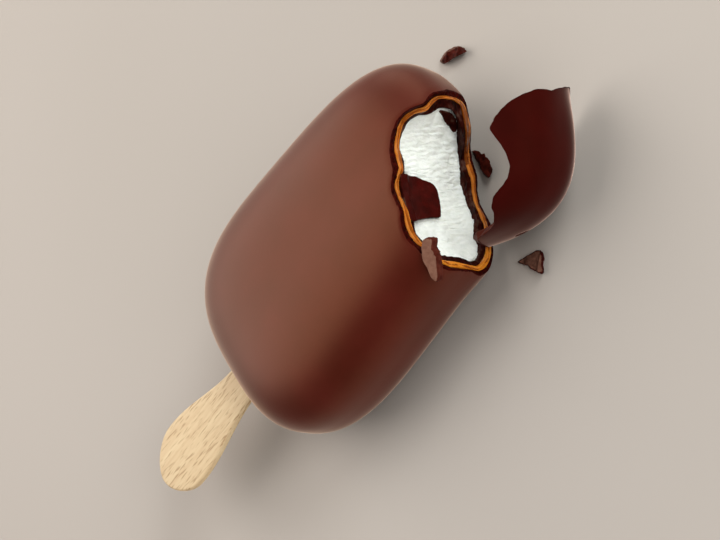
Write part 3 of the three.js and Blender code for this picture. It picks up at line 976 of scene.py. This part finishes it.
# chips: a ridge is its place along the chip, its width and its height
chips = {
    # chip 1's grey side is painted reflection
    "shell_chip_1": {
        "outline": [
            (-3.2, -1.8), (-3.0, -1.0), (-2.2, 0.2), (-0.9, 1.2), (0.5, 1.8), (2.0, 2.0), (2.7, 1.8),
            (3.6, 1.4), (4.3, 0.8), (2.8, 0.1), (0.9, -0.9), (-0.8, -1.8), (-1.7, -2.4), (-2.6, -2.3),
        ],
        "centre": (0.2, 0.2), "at": (44.7, 24.1, floorLevel), "turn": (0, 0, -53), "seed": 41,
        "skin": chipChocolate, "side": paintedReflectionChocolate, "lean": (2.1, -0.5), "rough": 0.25,
        "ridges": [(-1.6, 0.3, 0.25), (1.4, 0.3, 0.2)],
    },
    "shell_chip_2": {
        "outline": [
            (-3.6, 2.0), (-2.7, 2.3), (-1.4, 2.2), (-0.5, 1.6), (0.4, 1.8), (1.0, 1.1), (1.6, 0.7),
            (2.4, 0.0), (2.7, -0.8), (3.5, -1.5), (3.6, -2.2), (3.3, -2.9), (3.1, -3.6), (2.7, -3.8),
            (2.1, -3.5), (1.2, -2.9), (0.2, -2.0), (-0.8, -0.7), (-1.8, 0.2), (-2.8, 1.4),
        ],
        "centre": (0.4, -0.2), "at": (33.9, -2.7, floorLevel), "turn": (0, 0, -53), "seed": 42,
        "skin": chipChocolate, "side": chipChocolate, "lean": (1.7, -0.1), "rough": 0.25,
        "ridges": [(0.4, 0.5, 0.2)],
    },
    "shell_chip_3": {
        # chip 3's grey skin is painted reflection
        "outline": [
            (-4.5, -0.6), (-3.6, 0.1), (-2.7, 0.8), (-1.9, 1.2), (-1.1, 1.4), (-0.4, 2.0), (0.3, 2.4),
            (1.0, 2.6), (1.7, 2.4), (2.2, 2.1), (2.5, 1.4), (2.7, 0.8), (2.7, 0.0), (2.8, -1.0),
            (3.2, -1.8), (3.1, -2.3), (2.8, -2.6), (2.1, -2.4), (1.4, -2.3), (0.5, -2.0), (-0.4, -1.8),
            (-1.0, -1.5), (-1.5, -0.9), (-2.2, -1.2), (-3.1, -1.1), (-4.0, -0.9),
        ],
        "centre": (0.5, 0.1), "at": (28.7, -31.1, floorLevel), "turn": (0, 0, -53), "seed": 43,
        "skin": paintedReflectionChocolate, "side": fractureAndShadeChocolate, "lean": (0.8, 0), "rough": 0.12,
        "ridges": [(2.0, 0.35, 0.5), (-3.3, 1.2, -0.8)],
    },
    # chip 4's pale skin is painted light
    "shell_chip_4": {
        "outline": [
            (4.0, 1.6), (4.4, 0.8), (4.3, -0.5), (2.3, -0.4), (1.2, -1.0), (0.0, -1.5),
            (-2.0, -1.6), (-4.6, -1.9), (-5.9, -1.6), (-5.2, -0.6), (-3.1, 0.3), (-1.3, 1.4),
            (0.5, 1.9), (2.3, 1.9),
        ],
        "centre": (0.6, 0.4), "at": (20.2, -25.3, 10.2), "turn": (49, 7, 36), "seed": 44,
        "skin": paintedLightChocolate, "side": cornerChocolate, "lean": (0.2, 1.4), "rough": 0,
        "ridges": [],
    },
}
chipShape = {
    "thickness": 1.8, "rings": 24, "bevel": 0.25, "ragged": 0.2,
    "sides": [(0.86, 0.05), (0.65, 0), (0.4, 0.02), (0.15, 0.08), (0, 0.3)],
    "topSize": 0.9, "underRough": 0.12, "underSize": 1.1,
}


def chipMesh(piece):
    def surface(x, y, level):
        rough = abs(roughness(Vector((x, y, level)), piece["underSize"], piece["seed"]))
        under = piece["underRough"] * rough * (1 - level)
        over = piece["rough"] * roughness(Vector((x, y, 0)), piece["topSize"], piece["seed"] + 1)
        for at, width, height in piece["ridges"]:
            over += height * math.exp(-((x - at) / width) ** 2)
        leanX, leanY = piece["lean"]
        return Vector((x + leanX * (level - 1), y + leanY * (level - 1),
                       piece["thickness"] * level + under + over * level))

    bm = plateMesh(piece, surface)
    turn = Euler([math.radians(a) for a in piece["turn"]], "ZYX").to_matrix().to_4x4()
    bmesh.ops.transform(bm, matrix=Matrix.Translation(piece["at"]) @ turn, verts=bm.verts[:])
    return bm


for node, chip in chips.items():
    finishPiece(chipMesh({**chipShape, **chip}), "shellChip" + node[-1], [chip["skin"], chip["side"]],
                "milk_chocolate", node)


def stickMesh():
    freeEnd = -bar["halfLength"] - stick["visible"]
    innerEnd = freeEnd + stick["length"]
    neck = stick["neckHalfWidth"]
    paddle = stick["taperStart"] + stick["taperLength"]
    upper = []
    for i in range(1, stick["stations"] + 1):
        distance = paddle * (i / stick["stations"]) ** stick["crowding"]
        toGo = 1 - min(distance / stick["endLength"], 1)
        rounding = (1 - toGo ** stick["endPower"]) ** (1 / stick["endPower"])
        t = min(max((distance - stick["taperStart"]) / stick["taperLength"], 0), 1)
        taper = t * t * (3 - 2 * t)
        halfWidth = rounding * (stick["paddleHalfWidth"] + (neck - stick["paddleHalfWidth"]) * taper)
        upper.append((freeEnd + distance, halfWidth))
    for angle in range(90, 0, -stick["innerStep"]):
        turn = math.radians(angle)
        upper.append((innerEnd - neck + neck * math.cos(turn), neck * math.sin(turn)))
    outline = [(freeEnd, 0), *upper, (innerEnd, 0), *[(x, -y) for x, y in reversed(upper)]]
    bm = bmesh.new()
    verts = [bm.verts.new((x, y, -stick["thickness"] / 2)) for x, y in outline]
    face = bm.faces.new(verts)
    lifted = bmesh.ops.extrude_face_region(bm, geom=[face])["geom"]
    bmesh.ops.translate(bm, vec=(0, 0, stick["thickness"]),
                        verts=[g for g in lifted if isinstance(g, bmesh.types.BMVert)])
    bmesh.ops.recalc_face_normals(bm, faces=bm.faces[:])
    rims = [e for e in bm.edges if abs(e.verts[0].co.z - e.verts[1].co.z) < tiny]
    bmesh.ops.bevel(bm, geom=rims, offset=stick["edge"], offset_type="OFFSET", affect="EDGES",
                    segments=stick["edgeSegments"], profile=0.5, material=-1)
    return bm


finishPiece(stickMesh(), "woodenStick", [beech], "wood", "wooden_stick")

floorLook = {
    "size": 4.0, "light": "#aea69f", "dark": "#a8a098", "roughness": 0.7,
    "stops": ((0.3, "dark"), (0.7, "light")), "cloud": {"Scale": 4, "Detail": 2},
}
bm = bmesh.new()
bmesh.ops.create_grid(bm, x_segments=1, y_segments=1, size=floorLook["size"])
floorMesh = bpy.data.meshes.new("floor")
bm.to_mesh(floorMesh)
bm.free()
floorMesh.materials.append(cloudedMaterial("paleFloor", floorLook))
floor = bpy.data.objects.new("floor", floorMesh)
bpy.context.scene.collection.objects.link(floor)
print("floor laid")

lights = {  # direction from the bar, distance and size in metres, watts, colour
    "key": {"from": (-0.38, 0.54, 0.75), "distance": 0.8, "size": (1.0, 1.2), "power": 8.2,
            "colour": (1.0, 0.95, 0.9), "glossy": True, "diffuse": True},
    "fill": {"from": (0.84, 0.1, 0.45), "distance": 0.9, "size": (0.4, 0.4), "power": 5,
             "colour": (0.96, 1.0, 1.0), "glossy": False, "diffuse": True},
    "front": {"from": (0.62, -0.5, 0.55), "distance": 0.9, "size": (0.6, 0.6), "power": 4.6,
              "colour": (0.97, 1.0, 0.99), "glossy": False, "diffuse": True},
    "low": {"from": (-0.3, -0.93, 0.09), "distance": 0.9, "size": (0.8, 0.3), "power": 4.2,
            "colour": (1.0, 0.97, 0.94), "glossy": False, "diffuse": True},
    "rim": {"from": (-0.1, 0.95, 0.2), "distance": 0.9, "size": (0.7, 0.3), "power": 3.2,
            "colour": (1.0, 0.95, 0.9), "glossy": False, "diffuse": True},
    "top": {"from": (0.55, 0.8, 0.28), "distance": 0.9, "size": (0.7, 0.4), "power": 1.7,
            "colour": (1.0, 0.95, 0.9), "glossy": True, "diffuse": False},
}
for name, light in lights.items():
    lamp = bpy.data.lights.new(name, "AREA")
    lamp.shape = "RECTANGLE"
    lamp.size, lamp.size_y = light["size"]
    lamp.energy = light["power"]
    lamp.color = light["colour"]
    holder = bpy.data.objects.new(name, lamp)
    direction = Vector(light["from"]).normalized()
    holder.location = barCentre + direction * light["distance"]
    holder.rotation_euler = direction.to_track_quat("Z", "Y").to_euler()
    holder.visible_glossy = light["glossy"]
    holder.visible_diffuse = light["diffuse"]
    bpy.context.scene.collection.objects.link(holder)

studio = {"colour": (1.0, 0.95, 0.9, 1), "strength": 0.13}
world = bpy.data.worlds.new("studio")
bpy.context.scene.world = world
world.use_nodes = True
world.node_tree.nodes["Background"].inputs["Color"].default_value = studio["colour"]
world.node_tree.nodes["Background"].inputs["Strength"].default_value = studio["strength"]
bpy.context.scene.view_settings.view_transform = "Standard"
print("lights placed")

cameraView = {
    "location": (154.35, -211.43, 287.82),
    "rotation": (11.757, 42.112, -38.547),
    "lens": 80, "sensor": 36, "shift": (0.01037, -0.02924), "clipStart": 0.01,
}
cameraData = bpy.data.cameras.new("camera")
cameraData.lens = cameraView["lens"]
cameraData.sensor_width = cameraView["sensor"]
cameraData.shift_x, cameraData.shift_y = cameraView["shift"]
cameraData.clip_start = cameraView["clipStart"]
camera = bpy.data.objects.new("camera", cameraData)
camera.location = Vector(cameraView["location"]) * mm
camera.rotation_euler = [math.radians(a) for a in cameraView["rotation"]]
bpy.context.scene.collection.objects.link(camera)
bpy.context.scene.camera = camera
print("camera placed")

bpy.context.view_layer.update()
